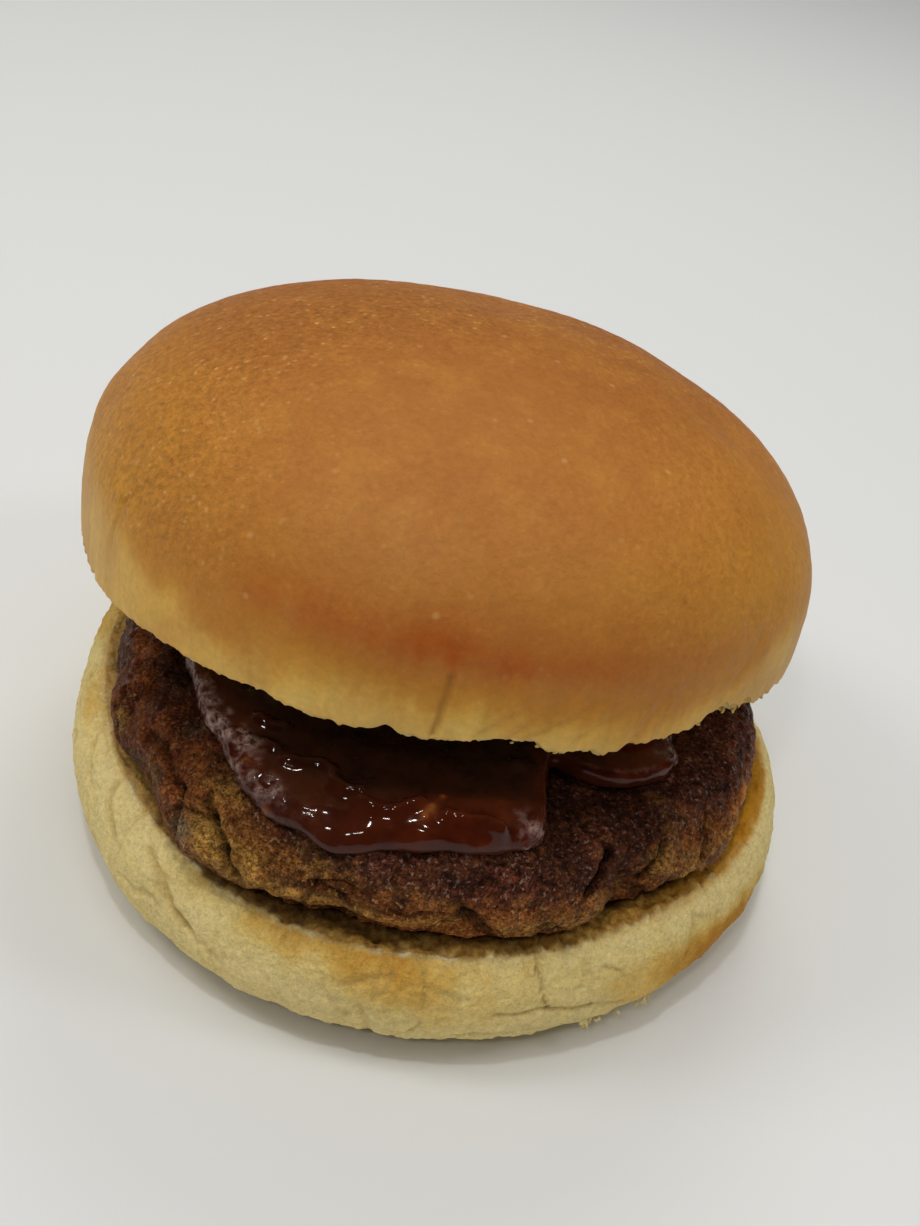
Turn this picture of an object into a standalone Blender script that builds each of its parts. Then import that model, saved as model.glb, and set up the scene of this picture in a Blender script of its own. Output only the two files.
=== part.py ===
"""Burger: a soft bun cut in two, a meat patty and a slab of thick brown sauce.

Metres, +Z up. The front faces -Y. The origin is the centre of the flat underside
of the bottom bun. The top bun is slid back and tipped, so it gapes at the front.
"""

import bmesh
import bpy
import numpy as np

# Driving dimensions, metres.
BUN_RADIUS = 0.0500
BOTTOM_HEIGHT = 0.0168
PATTY_THICKNESS = 0.0130
SAUCE_THICKNESS = 0.0028
TOP_HEIGHT = 0.0337
GAP = 0.0003

# Bottom bun. Waves round the bun are (count, amount, degrees) cosines.
BOTTOM_OUTLINE = ((2, -0.0073, 42), (3, 0.0129, 9))
BOTTOM_RIM = ((1, -0.0017, 6), (2, 0.0019, -19))
BOTTOM_FOOT_INSET = 0.20 * BUN_RADIUS
BOTTOM_RIM_INSET = 0.088 * BUN_RADIUS
BOTTOM_WAIST = 0.5
BOTTOM_CURL = 0.0010
BOTTOM_CURL_AT = 168
BOTTOM_CURL_WIDTH = 20
CRUMB_LEVEL = 0.93 * BOTTOM_HEIGHT
CRUMB_BANK = 0.16 * BUN_RADIUS

# Patty. An outline is (degrees, radius) stops about its centre.
PATTY_X = 0.0015
PATTY_Y = -0.0010
PATTY_OUTLINE = (
    (-178, 0.0440), (-158, 0.0443), (-145, 0.0452), (-132, 0.0465), (-119, 0.0474),
    (-108, 0.0464), (-97, 0.0448), (-80, 0.0442), (-64, 0.0436), (-57, 0.0426),
    (-50, 0.0424), (-41, 0.0430), (-27, 0.0431), (-16, 0.0420), (8, 0.0411), (48, 0.0424),
    (90, 0.0432), (135, 0.0436),
)
PATTY_FOOT_INSET = 0.0042
PATTY_SHOULDER = 0.0090
PATTY_DROP = 0.5 * PATTY_THICKNESS
PATTY_TILT = 0.012
PATTY_WAVES = ((3, 0.0003, 20), (5, 0.0003, 75), (7, 0.0002, 10))
# Lumps and hollows on the side: (degrees, level, half width in degrees, half height, amount).
PATTY_LUMPS = (
    (-150, 0.0200, 8, 0.0035, 0.0006),
    (-134, 0.0195, 4, 0.0035, -0.0008),
    (-120, 0.0200, 8, 0.0032, 0.0010),
    (-104, 0.0178, 9, 0.0016, -0.0018),
    (-82, 0.0190, 5, 0.0028, -0.0016),
    (-67, 0.0200, 8, 0.0035, 0.0012),
    (-54, 0.0200, 3, 0.0045, -0.0018),
    (-46, 0.0180, 5, 0.0025, -0.0008),
    (-35, 0.0200, 7, 0.0030, 0.0009),
    (-16, 0.0200, 3, 0.0020, 0.0008),
    (35, 0.0200, 10, 0.0035, 0.0008),
    (80, 0.0190, 8, 0.0030, -0.0008),
    (125, 0.0210, 12, 0.0035, 0.0009),
    (168, 0.0195, 7, 0.0030, -0.0008),
)

# Sauce. Its slab reaches over the patty's front shoulder, with a notch and a lobe.
SAUCE_X = 0.0000
SAUCE_Y = -0.0020
SAUCE_OUTLINE = (
    (-149, 0.0358), (-140, 0.0368), (-130, 0.0382), (-121, 0.0402), (-116, 0.0417),
    (-111, 0.0426), (-106, 0.0421), (-101, 0.0427), (-97, 0.0422), (-92, 0.0413),
    (-84, 0.0403), (-76, 0.0400), (-68, 0.0400), (-65.5, 0.0380), (-64, 0.0335),
    (-61, 0.0305), (-56.5, 0.0280), (-54, 0.0295), (-50, 0.0330), (-45, 0.0351),
    (-37, 0.0366), (-31, 0.0362), (-26, 0.0335), (-20, 0.0290), (-10, 0.0250),
    (45, 0.0220), (90, 0.0190), (135, 0.0235), (165, 0.0310),
)
SAUCE_LIP = 0.0015
SAUCE_WAVES = ((4, 0.0003, 30), (7, 0.0002, 65))
# The tipped top bun squeezes the slab thin from SAUCE_THINS on, over SAUCE_TAPER.
SAUCE_THINS = -0.0080
SAUCE_TAPER = 0.0330
SAUCE_SQUEEZE = 0.72

# Top bun, in its own frame: the cut plane is z = 0.
TOP_RADIUS = 0.984 * BUN_RADIUS
TOP_OUTLINE = ((2, -0.0090, 52), (3, 0.0071, 26), (4, -0.0092, 21))
# The torn rim hangs below or stops above the cut plane: (degrees, height) stops.
TOP_RIM = (
    (-146, -0.0020), (-134, -0.0012), (-124, -0.0006), (-113, -0.0001), (-107, -0.0001),
    (-104, -0.0007), (-98, -0.0010), (-94, -0.0009), (-91, -0.0002), (-87, -0.0009),
    (-83, -0.0007), (-79, 0.0001), (-72, 0.0004), (-69, -0.0013), (-65, -0.0009),
    (-62, -0.0018), (-60, -0.0016), (-57, -0.0003), (-47, -0.0003), (-43, 0.0014),
    (-39, 0.0012), (-35, 0.0002), (-20, -0.0004), (20, 0.0002), (60, 0.0000),
    (75, 0.0005), (90, 0.0002), (120, -0.0004), (150, 0.0003), (180, -0.0008),
)
TOP_RIM_SCALE = 0.988
TOP_WAIST = 0.216 * TOP_HEIGHT
TOP_FULLNESS = 2.11
TOP_APEX_SHIFT = -0.0023
TOP_SAG = 0.0020
TOP_EDGE = 0.0012
TOP_PLACE = (-0.0033, 0.0091, 0.0341)
TOP_TIP = -8.4

# Mesh detail: columns round each body, and the steps of its profile.
BUN_COLUMNS = 96
PATTY_COLUMNS = 108
SAUCE_COLUMNS = 120
BOTTOM_STEPS = (*np.linspace(1, 3, 11), 3.04, 3.08, 3.12, 3.16, 3.22, 3.4, 3.7)
PATTY_STEPS = (0.5, 0.8, 0.9, 1.0, 1.2, 1.4, 1.6, 1.8, 2.0, 2.2, 2.4, 2.6, 2.8, 3.0, 3.3, 3.65)
SAUCE_STEPS = (0.55, 0.8, 0.9, 1.0, 1.25, 1.5, 1.75, 2.0, 2.1, 2.2, 2.45)
TOP_STEPS = (0.45, 0.75, 0.92, 1.0, 1.1, 1.25, 1.5, 1.75, *np.linspace(2, 2.94, 11))

# Colours, linear RGB, then roughness.
BREAD = (0.46, 0.33, 0.15, 0.85)
CRUST = (0.42, 0.17, 0.045, 0.6)
MEAT = (0.075, 0.027, 0.011, 0.5)
SAUCE_BROWN = (0.045, 0.009, 0.004, 0.2)


def wave(angle, terms):
    """Sum of (count, amount, degrees) cosines round the burger."""
    return sum(amount * np.cos(count * (angle - np.radians(at))) for count, amount, at in terms)


def bump(angle, at, wide):
    """Soft bump round the burger: 1 at its own degrees, fading over its half width."""
    turn = np.degrees(np.angle(np.exp(1j * (angle - np.radians(at)))))
    return np.exp(-(turn / wide) ** 2)


def around(angle, stops, blur=4):
    """Smooth closed outline through (degrees, value) stops, averaged over a few degrees."""
    degrees, values = np.array(stops).T
    turns = np.linspace(-blur, blur, 7)
    return np.mean([np.interp(np.degrees(angle) + turn, degrees, values, period=360) for turn in turns],
                   axis=0)


def polar(x, y):
    """Angle and distance of points from a centre at 0, 0."""
    return np.arctan2(y, x), np.hypot(x, y)


def smooth(share):
    """Ease a share from 0 to 1, flat at both ends."""
    share = np.clip(share, 0, 1)
    return share * share * (3 - 2 * share)


def quarter(step, start):
    """Quarter turn, in radians, that a profile's section makes from its first step."""
    return np.radians(90) * np.clip(step - start, 0, 1)


def bottom_edge(angle):
    return BUN_RADIUS * (1 + wave(angle, BOTTOM_OUTLINE))


def bottom_rim(angle):
    curl = BOTTOM_CURL * bump(angle, BOTTOM_CURL_AT, BOTTOM_CURL_WIDTH)
    return BOTTOM_HEIGHT + wave(angle, BOTTOM_RIM) + curl


def crumb_height(x, y):
    """Height of the bottom bun's cut face: level under the patty, banked up to its rim."""
    angle, reach = polar(x, y)
    rim = bottom_edge(angle) - BOTTOM_RIM_INSET
    bank = smooth((reach - rim + CRUMB_BANK) / CRUMB_BANK)
    return CRUMB_LEVEL + (bottom_rim(angle) - CRUMB_LEVEL) * bank


def bottom_point(step, angle):
    """Step 0 to 1 is the underside, 1 to 2 and 2 to 3 the side, 3 to 4 the cut face."""
    edge = bottom_edge(angle)
    waist = BOTTOM_WAIST * bottom_rim(angle)
    foot = edge - BOTTOM_FOOT_INSET
    rim = edge - BOTTOM_RIM_INSET
    sections = [step <= 1, step < 2, step < 3]
    reach = np.select(sections, [
        foot * step,
        foot + BOTTOM_FOOT_INSET * np.sin(quarter(step, 1)),
        rim + BOTTOM_RIM_INSET * np.cos(quarter(step, 2)),
    ], rim * (4 - step))
    x = reach * np.cos(angle)
    y = reach * np.sin(angle)
    z = np.select(sections, [
        0 * step,
        waist * (1 - np.cos(quarter(step, 1))),
        waist + (bottom_rim(angle) - waist) * np.sin(quarter(step, 2)),
    ], crumb_height(x, y))
    return x, y, z


def patty_edge(angle):
    return around(angle, PATTY_OUTLINE)


def patty_level(x, y):
    """Height of the patty's top face, with its shoulder rounding down to the edge."""
    angle, reach = polar(x - PATTY_X, y - PATTY_Y)
    inside = np.clip((patty_edge(angle) - reach) / PATTY_SHOULDER, 0, 1)
    drop = PATTY_DROP * (1 - np.sqrt(1 - (1 - inside) ** 2))
    swell = wave(angle, PATTY_WAVES) * smooth(reach / BUN_RADIUS)
    return CRUMB_LEVEL + GAP + PATTY_THICKNESS + PATTY_TILT * y + swell - drop


def patty_lumps(angle, level):
    """How far the side stands out or in at an angle and a height."""
    total = 0 * level
    for at, height, wide, tall, amount in PATTY_LUMPS:
        rise = (level - height) / tall
        total = total + amount * bump(angle, at, wide) * np.exp(-rise ** 2)
    return total


def patty_point(step, angle):
    """Step 0 to 1 is the underside, 1 to 2 the lower side, 2 to 3 the shoulder, 3 to 4 the top."""
    edge = patty_edge(angle)
    foot = edge - PATTY_FOOT_INSET
    sections = [step <= 1, step < 2, step < 3]
    reach = np.select(sections, [
        foot * step,
        foot + PATTY_FOOT_INSET * np.sin(quarter(step, 1)),
        edge - PATTY_SHOULDER * (1 - np.cos(quarter(step, 2))),
    ], (edge - PATTY_SHOULDER) * (4 - step))
    x = PATTY_X + reach * np.cos(angle)
    y = PATTY_Y + reach * np.sin(angle)
    floor = crumb_height(x, y) + GAP
    waist = patty_level(PATTY_X + edge * np.cos(angle), PATTY_Y + edge * np.sin(angle))
    side = floor + (waist - floor) * (1 - np.cos(quarter(step, 1)))
    z = np.select([step <= 1, step < 2], [floor, side], patty_level(x, y))
    push = patty_lumps(angle, z) * smooth(step - 0.9) * smooth(3 - step)
    x = x + push * np.cos(angle)
    y = y + push * np.sin(angle)
    z = np.where(step < 2, np.maximum(z, crumb_height(x, y) + GAP), z)
    return x, y, z


def sauce_point(step, angle):
    """Step 0 to 1 is the underside, 1 to 2 the rounded lip, 2 to 3 the top."""
    edge = around(angle, SAUCE_OUTLINE, blur=1.5)
    inner = edge - SAUCE_LIP
    turn = np.radians(180) * (step - 1)
    lip = (step > 1) & (step < 2)
    reach = np.select([step <= 1, lip], [inner * step, inner + SAUCE_LIP * np.sin(turn)], inner * (3 - step))
    x = SAUCE_X + reach * np.cos(angle)
    y = SAUCE_Y + reach * np.sin(angle)
    thickness = SAUCE_THICKNESS + wave(angle, SAUCE_WAVES) * smooth(reach / BUN_RADIUS)
    thickness = thickness * (1 - SAUCE_SQUEEZE * smooth((y - SAUCE_THINS) / SAUCE_TAPER))
    share = np.select([step <= 1, lip], [0 * step, (1 - np.cos(turn)) / 2], 1 + 0 * step)
    return x, y, patty_level(x, y) + GAP + thickness * share


def top_point(step, angle):
    """Step 0 to 1 is the underside, 1 to 2 the rim's wall, 2 to 3 the dome."""
    edge = TOP_RADIUS * (1 + wave(angle, TOP_OUTLINE))
    rim = edge * TOP_RIM_SCALE - TOP_EDGE
    low = around(angle, TOP_RIM, blur=1.5)
    turn = quarter(step, 2)
    wall = TOP_RIM_SCALE * edge + (1 - TOP_RIM_SCALE) * edge * np.sin(quarter(step, 1))
    wall = wall - TOP_EDGE * smooth(1 - 4 * (step - 1))
    dome = edge * np.clip(np.cos(turn), 0, 1) ** (2 / TOP_FULLNESS)
    sections = [step <= 1, step < 2]
    reach = np.select(sections, [rim * step, wall], dome)
    share = reach / edge
    under = low * share ** 4 - TOP_SAG * np.clip(1 - share ** 2, 0, 1) ** 2
    side = low + (TOP_WAIST - low) * (1 - np.cos(quarter(step, 1)))
    arch = TOP_WAIST + (TOP_HEIGHT - TOP_WAIST) * np.sin(turn) ** (2 / TOP_FULLNESS)
    z = np.select(sections, [under, side], arch)
    shift = TOP_APEX_SHIFT * np.sin(turn) ** 2
    return reach * np.cos(angle) + shift, reach * np.sin(angle), z


def material(name, looks):
    """Principled material of one colour and roughness."""
    *colour, roughness = looks
    made = bpy.data.materials.new(name)
    made.use_nodes = True
    shader = made.node_tree.nodes["Principled BSDF"]
    shader.inputs["Base Color"].default_value = (*colour, 1)
    shader.inputs["Roughness"].default_value = roughness
    shader.inputs["Metallic"].default_value = 0
    return made


def turned_body(name, columns, steps, point, last):
    """A sphere's rings moved to a profile's steps: from the underside's middle to the top's."""
    mesh = bpy.data.meshes.new(name)
    body = bmesh.new()
    bands = len(steps) + 1
    bmesh.ops.create_uvsphere(body, u_segments=columns, v_segments=bands, radius=1)
    spots = np.array([vertex.co for vertex in body.verts])
    angle, _ = polar(spots[:, 0], spots[:, 1])
    ring = np.rint(np.arccos(np.clip(-spots[:, 2], -1, 1)) / np.pi * bands).astype(int)
    step = np.array([0.0, *steps, last])[ring]
    for vertex, place in zip(body.verts, np.array(point(step, angle)).T):
        vertex.co = place
    flat = [face for face in body.faces if all(abs(corner.co.z) < 1e-7 for corner in face.verts)]
    if flat:
        bmesh.ops.dissolve_faces(body, faces=flat)
    body.to_mesh(mesh)
    body.free()
    return bpy.data.objects.new(name, mesh)


def add(collection, made, finish):
    """Put a body in the collection with its material and smooth shading."""
    made.data.materials.append(finish)
    made.data.shade_smooth()
    collection.objects.link(made)
    return made


def main():
    for old in list(bpy.data.objects):
        bpy.data.objects.remove(old)
    burger = bpy.data.collections.new("burger")
    bpy.context.scene.collection.children.link(burger)

    bottom = turned_body("bun_bottom", BUN_COLUMNS, BOTTOM_STEPS, bottom_point, 4.0)
    add(burger, bottom, material("bread", BREAD))
    patty = turned_body("patty", PATTY_COLUMNS, PATTY_STEPS, patty_point, 4.0)
    add(burger, patty, material("meat", MEAT))
    sauce = turned_body("sauce", SAUCE_COLUMNS, SAUCE_STEPS, sauce_point, 3.0)
    add(burger, sauce, material("sauce", SAUCE_BROWN))
    top = turned_body("bun_top", BUN_COLUMNS, TOP_STEPS, top_point, 3.0)
    add(burger, top, material("crust", CRUST))
    top.location = TOP_PLACE
    top.rotation_euler = (np.radians(TOP_TIP), 0, 0)


main()
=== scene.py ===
"""Looks of the burger: baked crust, torn crumb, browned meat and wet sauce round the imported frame.

Each piece has the same form as the node it replaces, on a finer mesh with its own relief.
Metres, +Z up. The front faces -Y, and angles are degrees round +Z from +X.
"""

import bmesh
import bpy
import numpy as np
from mathutils import Matrix, Vector


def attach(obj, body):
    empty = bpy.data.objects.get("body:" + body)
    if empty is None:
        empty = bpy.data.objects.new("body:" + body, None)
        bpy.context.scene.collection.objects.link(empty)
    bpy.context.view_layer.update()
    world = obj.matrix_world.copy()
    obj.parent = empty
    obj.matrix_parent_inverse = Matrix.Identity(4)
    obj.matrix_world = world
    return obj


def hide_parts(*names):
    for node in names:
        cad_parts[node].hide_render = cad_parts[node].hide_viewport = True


# Driving dimensions, the same as the solids'.
BUN_RADIUS = 0.05
BOTTOM_HEIGHT = 0.0168
PATTY_THICKNESS = 0.013
SAUCE_THICKNESS = 0.0028
TOP_HEIGHT = 0.0337
GAP = 0.0003

# Bottom bun. Waves round it are (count, amount, degrees) and bumps (degrees, half width, amount).
BOTTOM_OUTLINE = ((2, -0.0073, 42), (3, 0.0129, 9))
BOTTOM_RIM = ((1, -0.0017, 6), (2, 0.0019, -19))
BOTTOM_FOOT_INSET = 0.2 * BUN_RADIUS
BOTTOM_RIM_INSET = 0.088 * BUN_RADIUS
BOTTOM_WAIST = 0.5
BOTTOM_CURL = ((168, 20, 0.001),)
CRUMB_LEVEL = 0.93 * BOTTOM_HEIGHT
CRUMB_BANK = 0.16 * BUN_RADIUS
# Creases: (degrees, height) to (degrees, height), then depth and half width.
BOTTOM_CREASES = (
    (-128, 0.015, -117, 0.0103, 0.0005, 0.0006), (-125, 0.0125, -112, 0.0085, 0.0003, 0.0005),
    (-141, 0.0165, -136, 0.012, 0.00045, 0.0006), (-152, 0.0175, -146, 0.013, 0.00035, 0.0005),
    (-167, 0.018, -160, 0.012, 0.0003, 0.0006), (-68, 0.0162, -67, 0.0126, 0.00042, 0.0003),
    (-67, 0.0126, -66, 0.0094, 0.00042, 0.0003), (-73, 0.0096, -66, 0.0094, 0.00045, 0.0003),
    (-66, 0.0094, -59, 0.0086, 0.00045, 0.0003), (-59, 0.0086, -53, 0.0074, 0.0003, 0.0003),
    (-78, 0.0062, -62, 0.0056, 0.00022, 0.0003), (-57, 0.014, -54, 0.0118, 0.0003, 0.0003),
    (-94, 0.012, -88, 0.014, 0.0003, 0.0005), (-84, 0.0135, -78, 0.012, 0.00025, 0.0004),
    (-40, 0.015, -34, 0.013, 0.00025, 0.0004), (60, 0.013, 72, 0.01, 0.00035, 0.0006),
    (110, 0.012, 118, 0.008, 0.0003, 0.0005),
)
# Golden patches on the pale side: (degrees, height, half width in degrees, half height, share).
BOTTOM_TAN = (
    (-106, 0.0155, 6, 0.0024, 0.6), (-97, 0.0152, 7, 0.0028, 0.6), (-87, 0.015, 6, 0.003, 0.85),
    (-91, 0.012, 5, 0.0026, 0.38), (-80, 0.0145, 5, 0.0022, 0.3), (-118, 0.016, 5, 0.0018, 0.35),
    (-70, 0.0135, 6, 0.003, 0.25), (-36, 0.0085, 13, 0.0036, 1.15), (-22, 0.0065, 10, 0.0025, 0.8),
    (-50, 0.0112, 8, 0.003, 0.42), (-81, 0.0108, 7, 0.0035, 0.38), (-31, 0.0083, 8, 0.0032, 1.0),
    (176, 0.0185, 9, 0.0022, 1.0), (-160, 0.0172, 7, 0.002, 0.5), (20, 0.011, 12, 0.003, 0.55),
    (62, 0.012, 16, 0.0035, 0.6), (118, 0.01, 18, 0.0035, 0.7), (150, 0.013, 10, 0.003, 0.45),
)
# Relief of the side, as layers of noise: (depth, grain, octaves, shift).
BOTTOM_RELIEF = ((0.0004, 0.014, 2, 0), (0.0002, 0.0011, 3, 8))
# Bumps where the meat's juice has not run, less soaked and with less painted shade, where its oil has, and
# where the cut lip shows no fuzz.
BOTTOM_DRY = ((178, 34, 1),)
BOTTOM_OIL = ((-12, 28, 1.15), (178, 34, 0.45))
BOTTOM_CLEAN_LIP = ((-10, 36, 1), (180, 34, 1))

# Patty. An outline is (degrees, radius) stops about its centre.
PATTY_CENTRE = (0.0015, -0.001)
PATTY_OUTLINE = (
    (-178, 0.044), (-158, 0.0443), (-145, 0.0452), (-132, 0.0465), (-119, 0.0474),
    (-108, 0.0464), (-97, 0.0448), (-80, 0.0442), (-64, 0.0436), (-57, 0.0426),
    (-50, 0.0424), (-41, 0.043), (-27, 0.0431), (-16, 0.042), (8, 0.0411), (48, 0.0424),
    (90, 0.0432), (135, 0.0436),
)
PATTY_FOOT_INSET = 0.0042
PATTY_SHOULDER = 0.009
PATTY_DROP = 0.5 * PATTY_THICKNESS
PATTY_TILT = 0.012
PATTY_WAVES = ((3, 0.0003, 20), (5, 0.0003, 75), (7, 0.0002, 10))
# Lumps and hollows on the side: (degrees, level, half width in degrees, half height, amount).
PATTY_LUMPS = (
    (-150, 0.02, 8, 0.0035, 0.0006), (-134, 0.0195, 4, 0.0035, -0.0008), (-120, 0.02, 8, 0.0032, 0.001),
    (-104, 0.0178, 9, 0.0016, -0.0018), (-82, 0.019, 5, 0.0028, -0.0016), (-67, 0.02, 8, 0.0035, 0.0012),
    (-54, 0.02, 3, 0.0045, -0.0018), (-46, 0.018, 5, 0.0025, -0.0008), (-35, 0.02, 7, 0.003, 0.0009),
    (-16, 0.02, 3, 0.002, 0.0008), (35, 0.02, 10, 0.0035, 0.0008), (80, 0.019, 8, 0.003, -0.0008),
    (125, 0.021, 12, 0.0035, 0.0009), (168, 0.0195, 7, 0.003, -0.0008),
)
# Small deep holes in the meat: (degrees, level, radius, depth).
PATTY_PITS = (
    (-80.5, 0.0212, 0.0014, 0.0014), (-82.5, 0.0226, 0.001, 0.0009), (-77, 0.019, 0.0012, 0.0012),
    (-66, 0.0195, 0.0007, 0.0008), (-50, 0.02, 0.001, 0.0011), (-47, 0.018, 0.0012, 0.0012),
    (-36, 0.0172, 0.0011, 0.0012), (-100, 0.0175, 0.0016, 0.0012), (-110, 0.0176, 0.0013, 0.001),
    (-141, 0.018, 0.0012, 0.001), (-22, 0.018, 0.001, 0.001), (10, 0.019, 0.0012, 0.001),
    (60, 0.019, 0.0013, 0.0012), (100, 0.0185, 0.0012, 0.001), (150, 0.019, 0.0012, 0.0011),
    (-57, 0.0262, 0.0007, 0.0008), (-95, 0.024, 0.0006, 0.0005),
)
# Folds between lumps of meat: (degrees, level) to (degrees, level), depth and half width.
PATTY_FOLDS = (
    (-122.8, 0.0262, -120.1, 0.0254, 0.0007, 0.0004), (-120.1, 0.0254, -116.0, 0.0231, 0.0008, 0.0004),
    (-116.0, 0.0231, -113.7, 0.0209, 0.0007, 0.0004), (-139.0, 0.0258, -135.0, 0.0264, 0.0006, 0.0004),
    (-135.0, 0.0264, -127.0, 0.0254, 0.0006, 0.0004), (-127.0, 0.0254, -125.0, 0.0215, 0.0007, 0.0004),
    (-57.8, 0.0276, -56.1, 0.0264, 0.0007, 0.0003), (-56.1, 0.0264, -59.4, 0.0252, 0.0009, 0.0004),
    (-59.4, 0.0252, -62.4, 0.0236, 0.0009, 0.0004), (-44.7, 0.0275, -46.7, 0.0251, 0.0006, 0.0003),
    (-46.7, 0.0251, -51.2, 0.0225, 0.0008, 0.0004), (-34.0, 0.0262, -38.0, 0.0225, 0.0007, 0.0004),
    (-103.7, 0.0233, -98.5, 0.0224, 0.0005, 0.0003), (-92.0, 0.0222, -84.0, 0.0215, 0.0005, 0.0003),
    (-152.0, 0.025, -146.0, 0.0215, 0.0006, 0.0004), (20.0, 0.024, 32.0, 0.02, 0.0007, 0.0005),
    (85.0, 0.023, 96.0, 0.021, 0.0006, 0.0005), (140.0, 0.024, 133.0, 0.02, 0.0007, 0.0005),
)
# Greasy golden patches on the side: (degrees, level, half width in degrees, half height, share).
PATTY_GOLD = (
    (-118, 0.0228, 3.5, 0.002, 1.1), (-112.5, 0.023, 3, 0.0016, 0.9), (-112, 0.0204, 4, 0.0011, 1.3),
    (-121, 0.0243, 3, 0.0012, 0.8), (-121, 0.0274, 4, 0.001, 0.8), (-147.5, 0.0232, 1.8, 0.0008, 2.6),
    (-134, 0.0225, 3, 0.002, 0.5), (-105, 0.0205, 5, 0.0012, 0.7), (-103, 0.0252, 5, 0.0012, 0.45),
    (-97, 0.0203, 5, 0.001, 0.75), (-87, 0.0199, 5, 0.001, 0.75), (-91, 0.025, 5, 0.001, 0.3),
    (-70, 0.0202, 6, 0.0011, 0.75), (-60, 0.0212, 4, 0.0014, 0.55), (-47, 0.0242, 3, 0.0013, 0.9),
    (-43, 0.0272, 2.5, 0.001, 0.8), (-40, 0.0222, 4, 0.0016, 0.7), (-30, 0.022, 5, 0.0016, 0.5),
    (30, 0.02, 10, 0.002, 0.5), (75, 0.021, 8, 0.002, 0.5), (120, 0.02, 9, 0.0022, 0.6),
    (165, 0.0215, 7, 0.0022, 0.5),
)
# Grey fatty patches, in the same way.
PATTY_GREY = (
    (-124, 0.0222, 2.4, 0.0014, 0.9), (-133.8, 0.0284, 1.5, 0.0005, 0.8), (-141, 0.0205, 2.0, 0.0016, 0.4),
)
# Level above which the meat is charred dark: (degrees, level) stops.
PATTY_CHAR = (
    (-175, 0.0285), (-160, 0.0285), (-150, 0.0278), (-135, 0.0285), (-120, 0.0284), (-108, 0.0262),
    (-95, 0.0248), (-84, 0.0244), (-75, 0.0244), (-62, 0.024), (-54, 0.0246), (-45, 0.0265),
    (-35, 0.0265), (-20, 0.0252), (-8, 0.0248), (60, 0.026), (120, 0.026),
)
# Lightness and warmth of the meat: (degrees, value) stops.
PATTY_TONE = (
    (-175, 0.6), (-150, 0.56), (-135, 0.66), (-124, 0.9), (-112, 1.1), (-98, 1.2), (-86, 1.5),
    (-74, 1.5), (-64, 1.15), (-54, 0.85), (-44, 1.1), (-32, 1.25), (-15, 1.4), (60, 1.0), (120, 1.0),
)
PATTY_WARM = (
    (-170, 1.0), (-150, 1.1), (-130, 0.9), (-118, 0.35), (-104, 0.15), (-90, 0.35), (-75, 0.35),
    (-62, 0.3), (-45, 0.4), (-25, 0.7), (-10, 0.8), (60, 0.5), (120, 0.5),
)
# Lighter and darker patches of the meat: (degrees, level, half width in degrees, half height, amount).
PATTY_SHADES = (
    (-67, 0.0288, 7, 0.0018, -0.35), (-76, 0.0248, 7, 0.0022, 0.75), (-127, 0.024, 4, 0.0018, 0.28),
    (-123, 0.0276, 4, 0.0014, -0.15), (-156, 0.0275, 7, 0.002, 0.55), (-145, 0.027, 4, 0.0016, -0.1),
    (-58, 0.0268, 4, 0.0014, 0.9), (-16, 0.0278, 10, 0.002, 0.4),
)
# Bits of other colours set in the meat: (degrees, level, half width in degrees, half height, share).
PATTY_BITS = (
    (-21.5, 0.0237, 1.7, 0.001, 1.9), (-83, 0.0222, 0.9, 0.0007, 0.6), (40, 0.021, 2.0, 0.0012, 1.0),
    (112, 0.02, 1.6, 0.001, 0.9),
)
# Relief of the meat: layers of noise, and rounded grains as (depth, size, shift, middle).
PATTY_RELIEF = ((0.00062, 0.007, 3, 0), (0.00022, 0.0013, 2, 4))
PATTY_GRAINS = ((0.0006, 0.0055, 2, 0.6), (0.00042, 0.0024, 0, 0.6), (0.0003, 0.0012, 5, 0.5))

# Sauce. Its slab reaches over the patty's front shoulder, with a notch and a lobe.
SAUCE_CENTRE = (0.0, -0.002)
SAUCE_OUTLINE = (
    (-149, 0.0358), (-140, 0.0368), (-130, 0.0382), (-121, 0.0402), (-116, 0.0417),
    (-111, 0.0426), (-106, 0.0421), (-101, 0.0427), (-97, 0.0422), (-92, 0.0413),
    (-84, 0.0403), (-76, 0.04), (-68, 0.04), (-65.5, 0.038), (-64, 0.0335),
    (-61, 0.0305), (-56.5, 0.028), (-54, 0.0295), (-50, 0.033), (-45, 0.0351),
    (-37, 0.0366), (-31, 0.0362), (-26, 0.0335), (-20, 0.029), (-10, 0.025),
    (45, 0.022), (90, 0.019), (135, 0.0235), (165, 0.031),
)
SAUCE_LIP = 0.0015
SAUCE_WAVES = ((4, 0.0003, 30), (7, 0.0002, 65))
SAUCE_THINS = -0.008
SAUCE_TAPER = 0.033
SAUCE_SQUEEZE = 0.72
# Raised welts on the sauce that catch the light: x, y points of each.
SAUCE_WELTS = (
    ((-0.0193, -0.0302), (-0.018, -0.0307), (-0.0162, -0.0305)),
    ((-0.0207, -0.0262), (-0.0197, -0.0258), (-0.0184, -0.0262)),
    ((-0.0178, -0.0337), (-0.0162, -0.0343)),
    ((-0.0149, -0.0355), (-0.0131, -0.0355), (-0.0108, -0.0351), (-0.0095, -0.0359), (-0.0088, -0.0377),
     (-0.0074, -0.0385), (-0.0058, -0.0385)),
    ((-0.0053, -0.0396), (-0.0037, -0.0403), (-0.0016, -0.0401), (-0.0004, -0.0392), (0.001, -0.0386)),
    ((0.004, -0.0394), (0.006, -0.0396), (0.0084, -0.0393), (0.0102, -0.0394)),
    ((0.011, -0.029), (0.0127, -0.0291), (0.0133, -0.0304)),
    ((0.0211, -0.0229), (0.0248, -0.0216), (0.0277, -0.019)),
)
WELT_WIDTH = 0.0008
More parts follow.
